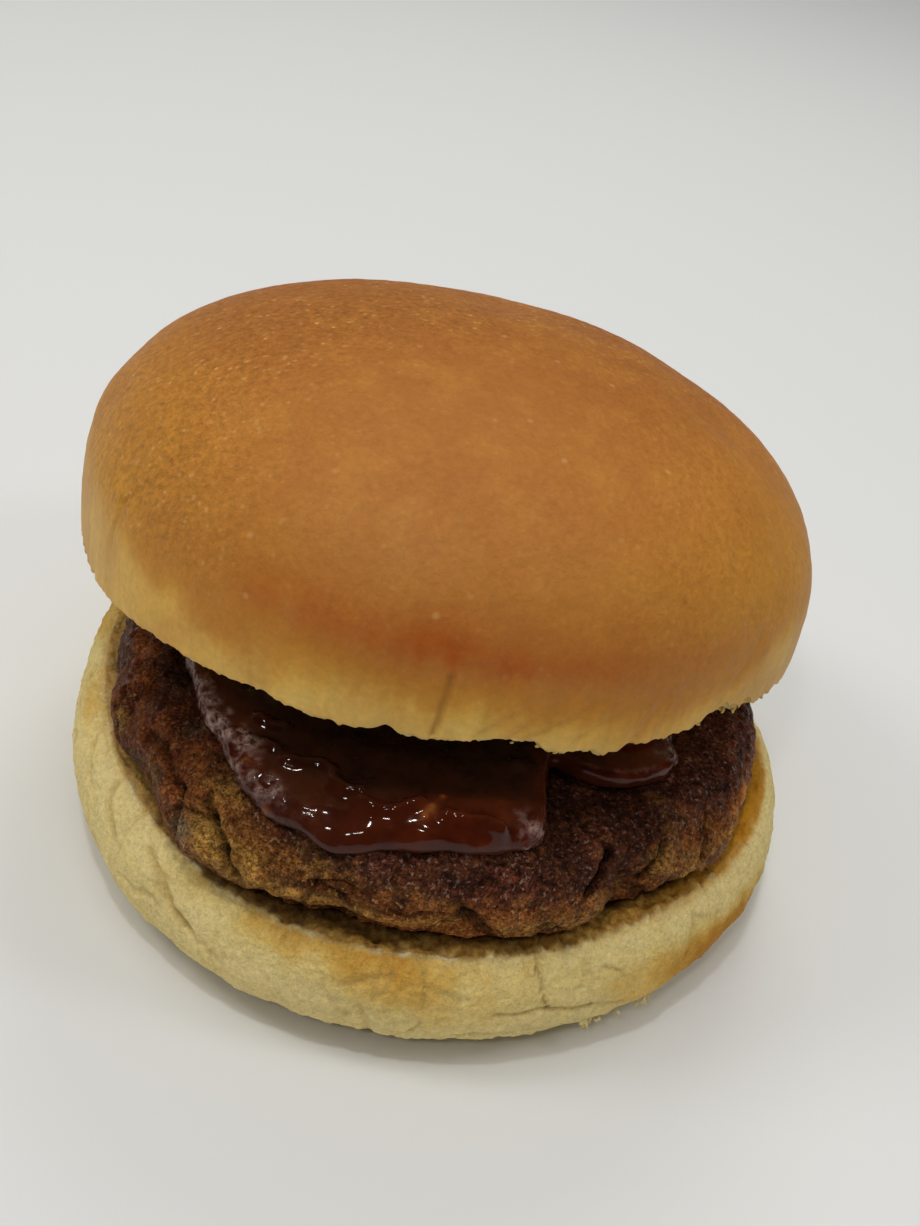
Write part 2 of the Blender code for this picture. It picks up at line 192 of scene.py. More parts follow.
SAUCE_RELIEF = ((0.00026, 0.0055, 2, 0), (0.00011, 0.0026, 4, 5))
# Pale dried patches of its skin: (degrees, reach, half width in degrees, half width, share).
SAUCE_FILM = (
    (-124, 0.0374, 3.5, 0.001, 1.8), (-130, 0.0366, 3.0, 0.0008, 0.7), (-119, 0.0395, 1.8, 0.0009, 1.2),
    (-113, 0.0405, 1.8, 0.0009, 1.1), (-68, 0.0384, 2.0, 0.0011, 0.9),
)
# A pale line just inside the second lobe's edge, with its distance from the edge in place of reach.
SAUCE_LOBE_FILM = ((-43, 0.001, 13, 0.0004, 0.25),)
# Spice bits in the sauce: x, y, half width.
SAUCE_BITS = (
    (0.0018, -0.0401, 0.0005), (0.0021, -0.0395, 0.0006), (0.0024, -0.0388, 0.0004),
    (0.0029, -0.038, 0.0003), (0.0033, -0.0372, 0.0003), (-0.0159, -0.0417, 0.0005),
    (-0.0192, -0.0366, 0.0003),
)

# Top bun, in its own frame: the cut plane is z = 0.
TOP_RADIUS = 0.984 * BUN_RADIUS
TOP_OUTLINE = ((2, -0.009, 52), (3, 0.0071, 26), (4, -0.0092, 21))
# The torn rim hangs below or stops above the cut plane: (degrees, height) stops.
TOP_RIM = (
    (-146, -0.002), (-134, -0.0012), (-124, -0.0006), (-113, -0.0001), (-107, -0.0001),
    (-104, -0.0007), (-98, -0.001), (-94, -0.0009), (-91, -0.0002), (-87, -0.0009),
    (-83, -0.0007), (-79, 0.0001), (-72, 0.0004), (-69, -0.0013), (-65, -0.0009),
    (-62, -0.0018), (-60, -0.0016), (-57, -0.0003), (-47, -0.0003), (-43, 0.0014),
    (-39, 0.0012), (-35, 0.0002), (-20, -0.0004), (20, 0.0002), (60, 0.0),
    (75, 0.0005), (90, 0.0002), (120, -0.0004), (150, 0.0003), (180, -0.0008),
)
TOP_RIM_SCALE = 0.988
TOP_WAIST = 0.216 * TOP_HEIGHT
TOP_FULLNESS = 2.11
TOP_APEX_SHIFT = -0.0023
TOP_SAG = 0.002
TOP_EDGE = 0.0012
TOP_PLACE = (-0.0033, 0.0091, 0.0341)
TOP_TIP = -8.4
TOP_POSE = Matrix.LocRotScale(Vector(TOP_PLACE), Matrix.Rotation(np.radians(TOP_TIP), 3, "X"), None)
TOP_CREASES = (
    (-84.8, 0.0005, -84.2, 0.008, 0.0006, 0.0004), (-80, 0.0008, -74, 0.0048, 0.00025, 0.0005),
    (-76, 0.0005, -69, 0.0062, 0.00022, 0.0005), (-73, 0.001, -64, 0.0062, 0.00028, 0.0005),
    (-66, 0.0012, -60, 0.005, 0.00022, 0.0005), (-57, 0.001, -54, 0.006, 0.0002, 0.0005),
    (-97, 0.0005, -98, 0.004, 0.00015, 0.0005), (-109, 0.0005, -110, 0.005, 0.00015, 0.0006),
    (-141, 0.006, -139, 0.0125, 0.00032, 0.0004), (-139, 0.0125, -134, 0.0165, 0.00026, 0.0004),
    (-42, 0.0035, -36, 0.011, 0.00025, 0.0006), (10, 0.001, 14, 0.008, 0.00025, 0.0006),
    (70, 0.001, 66, 0.007, 0.0003, 0.0006), (130, 0.001, 134, 0.008, 0.00025, 0.0006),
)
# Darkest browning low on the dome: (degrees, height, half width in degrees, half height, share).
TOP_RED = (
    (-88, 0.0108, 6, 0.0026, 0.68), (-96, 0.0112, 6, 0.0022, 0.22), (-105, 0.0126, 7, 0.0028, 0.32),
    (-113, 0.012, 5, 0.0022, 0.12), (-80, 0.0106, 5, 0.0022, 0.45), (-72, 0.0098, 6, 0.002, 0.42),
    (-63, 0.0108, 7, 0.0025, 0.3), (-50, 0.011, 6, 0.002, 0.22), (-88, 0.0128, 22, 0.0042, 0.2),
    (20, 0.0125, 20, 0.003, 0.35), (75, 0.012, 16, 0.003, 0.4), (130, 0.013, 14, 0.003, 0.35),
)
# Height at which the pale band at the rim has turned gold: (degrees, height) stops.
TOP_BAND = (
    (-160, 0.012), (-143, 0.0112), (-132, 0.0076), (-118, 0.0052), (-103, 0.0052), (-88, 0.0052),
    (-75, 0.0038), (-60, 0.0026), (-50, 0.002), (-40, 0.005), (-30, 0.01), (-10, 0.0095),
    (30, 0.008), (90, 0.0072), (150, 0.011),
)
# Shallow dents in the dome: (degrees, height, half width in degrees, half height, depth).
TOP_DENTS = (
    (179, 0.0206, 7, 0.003, 0.0004), (-8, 0.0265, 10, 0.0022, 0.0005), (28, 0.028, 8, 0.002, 0.00035),
    (82, 0.0329, 20, 0.001, 0.0003), (118, 0.027, 9, 0.0025, 0.00035), (-128, 0.024, 8, 0.0022, 0.0002),
)
TOP_RELIEF = ((0.00035, 0.02, 2, 0), (0.00007, 0.0026, 3, 9))
# Height to which the rim's streaks reach, and the point that the smoothest crust lies round.
TOP_PALE_REACH = 0.014
TOP_SMOOTHEST = (0.002, -0.036)
# Where the rim is leathery or toasted: (degrees, half width).
TOP_LEATHER = (-34, 20)
TOP_TOASTED = (-126, 14)
# Where the crust is plain, finer or coarser, and where its sides are yellower and lighter, as painted
# light: (degrees, half width, amount).
TOP_PLAIN = ((-152, 32, 0.9),)
TOP_FINER = ((-22, 45, 0.75),)
TOP_COARSER = ((-150, 40, 0.25),)
TOP_OLIVE = ((-156, 40, 1.0), (-24, 36, 1.0), (90, 60, 0.7))

# Torn rims: the size of their flakes and threads, and where they are most ragged, in the same way.
TEAR_DEPTH = 0.0007
THREAD_DEPTH = 0.00022
TORN_MOST = ((-60, 11, 1.1), (-33, 12, 1.9), (-153, 9, 1.6))
# Clumps of crumbs clinging to the bottom bun's side: (degrees, height, size, stretch).
HANGING_CRUMBS = (
    (-57.6, 0.0042, 0.0009, 2.2), (-56.0, 0.0046, 0.0005, 1.6), (-48.5, 0.005, 0.0008, 1.2),
    (-47.0, 0.0056, 0.0006, 1.0), (-52.5, 0.0046, 0.0005, 1.0), (95, 0.006, 0.0007, 1.2),
    (140, 0.005, 0.0006, 1.3),
)
CRUMBS_IN_CLUMP = 4
# Flakes on the top bun's torn rim: (degrees from, degrees to, how many, size).
RIM_FLAKES = (
    (-76, -56, 5, 0.0005), (-46, -34, 6, 0.0008), (-34, -18, 5, 0.0007), (-160, -146, 8, 0.0006),
    (0, 180, 26, 0.0006),
)
# How golden the flakes on the top bun's rim are, 0 to 1.
CRUMB_BAKE = 0.42

# Mesh detail: columns round the burger, closer together at the front, and the steps of each profile.
FRONT_FOCUS = 0.35
TOP_COLUMNS = 576
BOTTOM_COLUMNS = 576
PATTY_COLUMNS = 720
SAUCE_COLUMNS = 480
TOP_STEPS = (
    *np.linspace(0.08, 0.96, 26), 1.0, *np.linspace(0.05, 0.93, 14) + 1, *np.linspace(0, 0.985, 112) + 2,
)
BOTTOM_STEPS = (
    0.5, 0.9, 1.0, *np.linspace(0.06, 1.94, 76) + 1, 2.97, 3.0, *np.linspace(0.006, 0.3, 48) + 3,
    3.35, 3.45, 3.6, 3.8,
)
PATTY_STEPS = (
    0.5, 0.85, 0.95, 1.0, *np.linspace(0.04, 1.97, 96) + 1, 3.0, *np.linspace(0.03, 0.6, 24) + 3, 3.8,
)
SAUCE_STEPS = (0.5, 0.85, 0.95, *np.linspace(0, 1, 21) + 1, *np.linspace(0.012, 0.55, 84) + 2, 2.65, 2.8)
# Random numbers, -1 to 1, and what mixes the three places of a grid's cell into one of their rows.
RANDOM = np.random.default_rng(7).uniform(-1, 1, (4096, 3))
MIXERS = (73856093, 19349663, 83492791)

# The photograph's camera: what it looks at, how far, how steeply, its turn, its lens, the nearest it sees.
TARGET = (0.00105, 0.0, 0.031)
DISTANCE = 0.1875
STEEPNESS = 35.0
ROLL = 11.6
PHOTO_FOCUS = 1400
PHOTO_HEIGHT = 1226
SENSOR = 36.0
NEAREST = 0.01

# Soft light of the room: at the horizon, added overhead, how fast it gathers there, its lean.
ROOM_LOW = 0.03
ROOM_TOP = 1.2
ROOM_GATHER = 4.5
ROOM_LEAN = (-0.36, 0.48, 0.0)
# Faint light low in front of the burger: its strength, its direction and how fast it fades upward.
ROOM_FRONT = 0.64
ROOM_FRONT_FROM = (0.15, -0.99, 0.0)
ROOM_FRONT_FADE = 6.0
ROOM_COLOUR = (1.0, 1.0, 0.985, 1)
# Lamps: (name, degrees round, degrees up, watts, width). Each is a disc aimed at the burger.
LAMPS = (
    ("lamp_key", 240, 77, 0.76, 0.05),
    ("lamp_left", 182, 50, 0.98, 0.24),
    ("lamp_back", 90, 51, 1.1, 0.3),
    ("lamp_right", 2, 46, 0.64, 0.2),
    ("lamp_front", 252, 50, 0.52, 0.06),
)
GLINT_LAMPS = ("lamp_key", "lamp_front")
LAMP_REACH = 0.8
LAMP_COLOUR = (1, 0.985, 0.95)
FLOOR_COLOUR = (0.825, 0.83, 0.825, 1)
FLOOR_REACH = 2.0


def wave(angle, terms):
    """Sum of (count, amount, degrees) cosines round the burger."""
    return sum(amount * np.cos(count * (angle - np.radians(at))) for count, amount, at in terms)


def turned(angle, at):
    """Turn from some degrees to an angle, in radians, at most half a turn either way."""
    return np.angle(np.exp(1j * (angle - np.radians(at))))


def bell(off, wide):
    """Soft bell: 1 where a distance is 0, fading over its half width."""
    return np.exp(-(off / wide) ** 2)


def bump(angle, at, wide):
    """Soft bump round the burger: 1 at its own degrees, fading over its half width."""
    return bell(np.degrees(turned(angle, at)), wide)


def bumps(angle, places):
    """Sum of soft bumps: (degrees, half width in degrees, amount)."""
    return sum(amount * bump(angle, at, wide) for at, wide, amount in places)


def spots(angle, level, places):
    """Sum of soft spots: (degrees, level, half width in degrees, half height, amount)."""
    return sum(
        amount * bump(angle, at, wide) * bell(level - height, tall)
        for at, height, wide, tall, amount in places
    )


def around(angle, stops, blur=4):
    """Smooth closed outline through (degrees, value) stops, averaged over a few degrees."""
    degrees, values = np.array(stops).T
    turns = np.linspace(-blur, blur, 7)
    return np.mean([np.interp(np.degrees(angle) + turn, degrees, values, period=360) for turn in turns],
                   axis=0)


def polar(x, y, centre=(0, 0)):
    """Angle and distance of points round a centre."""
    return np.arctan2(y - centre[1], x - centre[0]), np.hypot(x - centre[0], y - centre[1])


def smooth(share):
    """Ease a share from 0 to 1, flat at both ends."""
    share = np.clip(share, 0, 1)
    return share * share * (3 - 2 * share)


def place_at(angle, reach, centre=(0, 0)):
    """Place at an angle and a distance from a centre."""
    return centre[0] + reach * np.cos(angle), centre[1] + reach * np.sin(angle)


def quarter(step, start):
    """Quarter turn, in radians, that a profile's section makes from its first step."""
    return np.radians(90) * np.clip(step - start, 0, 1)


def scatter(cells_at):
    """Three random numbers, -1 to 1, fixed to each cell of a grid."""
    return RANDOM[np.bitwise_xor.reduce(cells_at * MIXERS, axis=-1) % len(RANDOM)]


def ripple(places):
    """Smooth gradient noise of unit grain."""
    cell = np.floor(places).astype(np.int64)
    part = places - cell
    ease = part ** 3 * (part * (part * 6 - 15) + 10)
    total = 0
    for corner in np.ndindex(2, 2, 2):
        weight = np.prod(np.where(corner, ease, 1 - ease), axis=1)
        total = total + weight * np.sum(scatter(cell + corner) * (part - corner), axis=1)
    return total


def cloud(points, size, octaves=3, shift=0.0):
    """Smooth noise of a given grain over an array of points, about -1 to 1."""
    return sum(1.4 * 0.5 ** n * ripple(points / size * 2 ** n + shift + 31.7 * n) for n in range(octaves))


def clouds(points, layers):
    """Relief of several layers of noise: (depth, grain, octaves, shift)."""
    return sum(depth * cloud(points, size, octaves, shift) for depth, size, octaves, shift in layers)


def cells(points, size, shift=0.0):
    """Distance to the nearest of points scattered about a size apart, 0 to about 1."""
    places = points / size + shift
    cell = np.floor(places).astype(np.int64)
    nearest = np.full(len(points), 9.0)
    for corner in np.ndindex(3, 3, 3):
        other = cell + corner - 1
        centre = other + 0.5 + 0.5 * scatter(other)
        nearest = np.minimum(nearest, np.sum((places - centre) ** 2, axis=1))
    return np.sqrt(nearest)


def off_line(across, up, run):
    """Distance of places from a line that starts at zero and makes a run."""
    share = np.clip((across * run[0] + up * run[1]) / (run @ run), 0, 1)
    return np.hypot(across - share * run[0], up - share * run[1])


def creases(angle, level, radius, marks):
    """Depth of creases between pairs of places on a side of a given radius."""
    total = 0 * level
    for from_at, from_level, to_at, to_level, depth, wide in marks:
        run = np.array([radius * np.radians(to_at - from_at), to_level - from_level])
        off = off_line(radius * turned(angle, from_at), level - from_level, run)
        total = total + depth * bell(off, wide)
    return total


def unrolled(angle, level, radius):
    """Points on a side rolled out flat, where noise can be stretched along or across."""
    return np.column_stack([angle * radius, level, 0 * level])


# ---- forms


def bottom_edge(angle):
    return BUN_RADIUS * (1 + wave(angle, BOTTOM_OUTLINE))


def bottom_rim(angle):
    return BOTTOM_HEIGHT + wave(angle, BOTTOM_RIM) + bumps(angle, BOTTOM_CURL)


def crumb_height(x, y):
    """Height of the bottom bun's cut face: level under the patty, banked up to its rim."""
    angle, reach = polar(x, y)
    rim = bottom_edge(angle) - BOTTOM_RIM_INSET
    bank = smooth((reach - rim + CRUMB_BANK) / CRUMB_BANK)
    return CRUMB_LEVEL + (bottom_rim(angle) - CRUMB_LEVEL) * bank


def bottom_point(step, angle):
    """Step 0 to 1 is the underside, 1 to 2 and 2 to 3 the side, 3 to 4 the cut face."""
    edge = bottom_edge(angle)
    waist = BOTTOM_WAIST * bottom_rim(angle)
    foot = edge - BOTTOM_FOOT_INSET
    rim = edge - BOTTOM_RIM_INSET
    sections = [step <= 1, step < 2, step < 3]
    reach = np.select(sections, [
        foot * step,
        foot + BOTTOM_FOOT_INSET * np.sin(quarter(step, 1)),
        rim + BOTTOM_RIM_INSET * np.cos(quarter(step, 2)),
    ], rim * (4 - step))
    x, y = place_at(angle, reach)
    z = np.select(sections, [
        0 * step,
        waist * (1 - np.cos(quarter(step, 1))),
        waist + (bottom_rim(angle) - waist) * np.sin(quarter(step, 2)),
    ], crumb_height(x, y))
    return x, y, z


def patty_edge(angle):
    return around(angle, PATTY_OUTLINE)


def patty_level(x, y):
    """Height of the patty's top face, with its shoulder rounding down to the edge."""
    angle, reach = polar(x, y, PATTY_CENTRE)
    inside = np.clip((patty_edge(angle) - reach) / PATTY_SHOULDER, 0, 1)
    drop = PATTY_DROP * (1 - np.sqrt(1 - (1 - inside) ** 2))
    swell = wave(angle, PATTY_WAVES) * smooth(reach / BUN_RADIUS)
    return CRUMB_LEVEL + GAP + PATTY_THICKNESS + PATTY_TILT * y + swell - drop


def patty_point(step, angle):
    """Step 0 to 1 is the underside, 1 to 2 the lower side, 2 to 3 the shoulder, 3 to 4 the top."""
    edge = patty_edge(angle)
    foot = edge - PATTY_FOOT_INSET
    reach = np.select([step <= 1, step < 2, step < 3], [
        foot * step,
        foot + PATTY_FOOT_INSET * np.sin(quarter(step, 1)),
        edge - PATTY_SHOULDER * (1 - np.cos(quarter(step, 2))),
    ], (edge - PATTY_SHOULDER) * (4 - step))
    x, y = place_at(angle, reach, PATTY_CENTRE)
    floor = crumb_height(x, y) + GAP
    waist = patty_level(*place_at(angle, edge, PATTY_CENTRE))
    side = floor + (waist - floor) * (1 - np.cos(quarter(step, 1)))
    z = np.select([step <= 1, step < 2], [floor, side], patty_level(x, y))
    push = spots(angle, z, PATTY_LUMPS) * smooth(step - 0.9) * smooth(3 - step)
    x, y = place_at(angle, push, (x, y))
    z = np.where(step < 2, np.maximum(z, crumb_height(x, y) + GAP), z)
    return x, y, z


def sauce_edge(angle):
    return around(angle, SAUCE_OUTLINE, blur=1.5)


def sauce_point(step, angle):
    """Step 0 to 1 is the underside, 1 to 2 the rounded lip, 2 to 3 the top."""
    inner = sauce_edge(angle) - SAUCE_LIP
    turn = np.radians(180) * (step - 1)
    sections = [step <= 1, step < 2]
    reach = np.select(sections, [inner * step, inner + SAUCE_LIP * np.sin(turn)], inner * (3 - step))
    x, y = place_at(angle, reach, SAUCE_CENTRE)
    thickness = SAUCE_THICKNESS + wave(angle, SAUCE_WAVES) * smooth(reach / BUN_RADIUS)
    thickness = thickness * (1 - SAUCE_SQUEEZE * smooth((y - SAUCE_THINS) / SAUCE_TAPER))
    share = np.select(sections, [0 * step, (1 - np.cos(turn)) / 2], 1)
    return x, y, patty_level(x, y) + GAP + thickness * share


def tears(angle, radius, shift=0.0):
    """Ragged height of a torn rim: small notches and hanging flakes."""
    places = np.column_stack([np.cos(angle), np.sin(angle), 0 * angle]) * radius
    flakes = np.abs(cloud(places, 0.0024, 3, shift)) - 0.25
    threads = cloud(places, 0.0008, 2, shift + 5)
    return (0.8 + bumps(angle, TORN_MOST)) * (TEAR_DEPTH * flakes + THREAD_DEPTH * threads)


def torn_bottom_point(step, angle):
    """The bottom bun's profile with its rim torn."""
    x, y, z = bottom_point(step, angle)
    at_rim = smooth((step - 2.3) / 0.7) * smooth((3.12 - step) / 0.12)
    return x, y, z + at_rim * tears(angle, BUN_RADIUS, 9)


def torn_rim(angle):
    return around(angle, TOP_RIM, blur=0.8) + tears(angle, TOP_RADIUS)


def top_point(step, angle):
    """Step 0 to 1 is the underside, 1 to 2 the rim's wall, 2 to 3 the dome."""
    edge = TOP_RADIUS * (1 + wave(angle, TOP_OUTLINE))
    rim = edge * TOP_RIM_SCALE - TOP_EDGE
    low = torn_rim(angle)
    turn = quarter(step, 2)
    wall = TOP_RIM_SCALE * edge + (1 - TOP_RIM_SCALE) * edge * np.sin(quarter(step, 1))
    wall = wall - TOP_EDGE * smooth(1 - 4 * (step - 1))
    dome = edge * np.clip(np.cos(turn), 0, 1) ** (2 / TOP_FULLNESS)
    sections = [step <= 1, step < 2]
    reach = np.select(sections, [rim * step, wall], dome)
    share = reach / edge
    under = low * share ** 4 - TOP_SAG * np.clip(1 - share ** 2, 0, 1) ** 2
    side = low + (TOP_WAIST - low) * (1 - np.cos(quarter(step, 1)))
    arch = TOP_WAIST + (TOP_HEIGHT - TOP_WAIST) * np.sin(turn) ** (2 / TOP_FULLNESS)
    z = np.select(sections, [under, side], arch)
    return *place_at(angle, reach, (TOP_APEX_SHIFT * np.sin(turn) ** 2, 0)), z


# ---- meshes


def add_object(name, data):
    made = bpy.data.objects.new(name, data)
    bpy.context.scene.collection.objects.link(made)
    return made


def ring_faces(columns, rings):
    """Faces of a closed body: a point, rings of quads, and a point again."""
    column = np.arange(columns)
    beside = (column + 1) % columns
    first = 1 + columns * np.arange(rings - 1)[:, None]
    quads = np.stack([first + column, first + beside, first + columns + beside, first + columns + column],
                     axis=-1)
    end = 1 + columns * (rings - 1)
    under = [(0, 1 + after, 1 + here) for here, after in zip(column, beside)]
    over = [(end + here, end + after, end + columns) for here, after in zip(column, beside)]
    return under + quads.reshape(-1, 4).tolist() + over


def rows_of(elements, name):
    """Three numbers of each mesh element, as rows."""
    rows = np.empty(len(elements) * 3)
    elements.foreach_get(name, rows)
    return rows.reshape(-1, 3)


class Body:
    """A fine closed mesh on a profile, with each point's step and angle kept for its relief."""

    def __init__(self, name, columns, steps, point):
        turn = np.linspace(-np.pi, np.pi, columns, endpoint=False)
        turn = turn - FRONT_FOCUS * np.cos(turn)
        self.angle = np.concatenate([[0.0], np.tile(turn, len(steps)), [0.0]])
        self.step = np.concatenate([[0.0], np.repeat(steps, columns), [np.ceil(steps[-1])]])
        places = np.array(point(self.step, self.angle)).T
        self.mesh = bpy.data.meshes.new(name)
        self.mesh.from_pydata(places.tolist(), [], ring_faces(columns, len(steps)))
        self.mesh.shade_smooth()
        self.object = add_object(name, self.mesh)

    def read(self, centre=(0, 0)):
        """Each point, its angle and distance round a centre, and its height."""
        points = rows_of(self.mesh.vertices, "co")
        return points, *polar(points[:, 0], points[:, 1], centre), points[:, 2]

    def swell(self, height):
        """Move each point out along its normal."""
        way = rows_of(self.mesh.vertex_normals, "vector")
        moved = rows_of(self.mesh.vertices, "co") + way * height[:, None]
        self.mesh.vertices.foreach_set("co", np.ascontiguousarray(moved).ravel())
        self.mesh.update()


def paint(mesh, **layers):
    """Keep numbers, 0 to 1, at each point of a mesh for its material."""
    for name, values in layers.items():
        layer = mesh.attributes.new(name, "FLOAT", "POINT")
        layer.data.foreach_set("value", np.clip(values, 0, 1))


def crumb_relief(points, shift=0.0):
    """Open bread crumb: pores of two sizes between soft ridges, with a fuzz of torn threads."""
    big = np.clip(0.55 - cells(points, 0.0024, shift), 0, 1)
    small = np.clip(0.5 - cells(points, 0.0012, shift + 3), 0, 1)
    fuzz = 0.00018 * cloud(points, 0.0008, 2, shift + 6)
    return 0.0004 * cloud(points, 0.003, 3, shift) - 0.0012 * big - 0.0007 * small + fuzz


def make_top():
    body = Body("top_bun", TOP_COLUMNS, TOP_STEPS, top_point)
    points, angle, _, level = body.read()
    crust = smooth((body.step - 1.0) * 10)
    near_rim = smooth(1 - level / TOP_PALE_REACH)
    streaks = unrolled(angle, 0.1 * level, TOP_RADIUS)
    streaked = near_rim * (1 - bumps(angle, TOP_PLAIN))
    leathery = bump(angle, *TOP_LEATHER) * bell(level - 0.0085, 0.006)
    creased = creases(angle + 0.009 * cloud(points, 0.006, 3, 27), level, TOP_RADIUS, TOP_CREASES)
    fringe = bell(level - torn_rim(angle), 0.0006) * smooth((body.step - 0.95) * 20)
    relief = (
        clouds(points, TOP_RELIEF) - 0.00034 - spots(angle, level, TOP_DENTS) - creased
        + 0.0001 * streaked * cloud(streaks, 0.0024, 3)
        - 0.00022 * leathery * (1 - np.abs(cloud(points, 0.0036, 3, 23)))
        + 0.00022 * fringe * cloud(points, 0.0009, 2, 3)
    )
    body.swell(relief * crust + crumb_relief(points) * (1 - crust))

    mottle = cloud(points, 0.006, 3, 2)
    streak = cloud(streaks, 0.003, 3, 4)
    patchy = 0.35 * cloud(points, 0.012, 3, 6)
    band = around(angle, TOP_BAND) + 0.0011 * streak + 0.0009 * mottle
    baked = smooth((level - band + 0.0048) / 0.0115) - 0.05 * mottle * near_rim
    red = spots(angle, level + 0.0012 * streak, TOP_RED)
    _, from_front = polar(points[:, 0], points[:, 1], TOP_SMOOTHEST)
    coarse = smooth((from_front - 0.016) / 0.024) * (1 - bumps(angle, TOP_FINER))
    browning = level - 0.0225 - 0.004 * np.cos(angle - np.radians(-80))
    paint(
        body.mesh,
        bake=np.maximum(baked, bump(angle, *TOP_TOASTED) * (0.17 + 0.06 * mottle)),
        fibre=0.5 + 0.5 * near_rim * cloud(streaks, 0.0018, 3, 8),
        # Painted shade in the creases.
        crease=1100 * creased - 0.05,
        red=red * (1 + 0.45 * streak + 0.35 * mottle),
        crumb=np.maximum(1 - crust, fringe * (0.5 + cloud(points, 0.0015, 2, 1))),
        coarse=(coarse + bumps(angle, TOP_COARSER)) * smooth((level - 0.007) / 0.008),
        # Yellower crust on the dome's sides, lighter as painted light where they would fall into shade.
        olive=bumps(angle, TOP_OLIVE) * bell(level - 0.0155, 0.0085) * (1 + patchy),
        brown=smooth(browning / 0.0075) * (0.75 + patchy),
    )
    body.mesh.transform(TOP_POSE)
    return body


def make_bottom():
    body = Body("bottom_bun", BOTTOM_COLUMNS, BOTTOM_STEPS, torn_bottom_point)
    points, angle, _, level = body.read()
    crumb = smooth((body.step - 2.9) * 9)
    grain = unrolled(angle, 0.45 * level, BUN_RADIUS)
    wrinkle = bell(cloud(grain, 0.0085, 3, 13), 0.055) * smooth(0.4 + 2 * cloud(points, 0.012, 2, 4))
    sway = cloud(points, 0.0042, 3, 27)
    cracked = creases(angle + 0.014 * sway, level + 0.0006 * sway, BUN_RADIUS, BOTTOM_CREASES)
    relief = (
        clouds(points, BOTTOM_RELIEF) - 0.0004 - 0.00026 * wrinkle - cracked
        + 0.0002 * (cloud(grain, 0.0026, 3) - np.abs(cloud(grain, 0.0055, 2, 6)))
    )
    fringe = bell(body.step - 2.95, 0.07)
    cut = 0.85 * crumb_relief(points, 4) + 0.0003 * fringe * cloud(points, 0.0009, 2, 3)
    lifted = smooth(level / 0.0015)
    body.swell((relief * (1 - crumb) + cut * crumb) * lifted)

    mottle = cloud(points, 0.004, 4, 2)
    fine = cloud(points, 0.0016, 3, 7)
    at_lip = bell(body.step - 2.98, np.where(body.step < 3, 0.06, 0.02))
    fuzzy = at_lip * (0.3 + 1.3 * cloud(points, 0.002, 3, 5))
    turn, out = polar(points[:, 0], points[:, 1], PATTY_CENTRE)
    away = out - patty_edge(turn) + PATTY_FOOT_INSET
    soaked = smooth((0.0098 - away) / 0.0045 + 0.3 * fine + 0.25 * mottle)
    # Deepest juice soak, with painted shade, under and just beyond the patty's edge.
    darkest = smooth((0.004 - away) / 0.003 + 0.35 * fine + 0.15 * mottle)
    dry = bumps(angle, BOTTOM_DRY)
    inner = smooth((body.step - 2.72) * 5)
    paint(
        body.mesh,
        bake=0.12 + spots(angle, level, BOTTOM_TAN) * (0.66 + 0.25 * mottle) + 0.07 * mottle,
        crumb=crumb,
        # foot: painted shade, darker towards the floor where the side curves in
        foot=1 - level / 0.0032,
        # rise: painted shade and light from the relief, darker in its hollows and lighter on its rises
        rise=0.5 + (relief + 0.0004) / 0.0014,
        fuzz=(1 - bumps(angle, BOTTOM_CLEAN_LIP)) * fuzzy,
        # crack: painted shade in the creases and wrinkles of the side
        crack=(1 - crumb) * (1400 * cracked + 0.5 * wrinkle - 0.12),
        soak=(1 - 0.9 * dry) * crumb * soaked,
        # dark: deepest soak and painted shade under the patty
        dark=(1 - 0.7 * dry) * crumb * darkest,
        oil=inner * bumps(angle, BOTTOM_OIL) * (0.95 + 0.4 * fine),
    )
    return body


def pits(angle, level):
    """Depth of the small holes in the patty's side."""
    return sum(
        depth * bell(np.hypot(BUN_RADIUS * turned(angle, at), level - height), wide)
        for at, height, wide, depth in PATTY_PITS
    )


def mince(points):
    """Relief of the rounded grains of meat."""
    return sum(
        depth * (middle - np.minimum(cells(points, size, shift), 1) ** 2)
        for depth, size, shift, middle in PATTY_GRAINS
    )


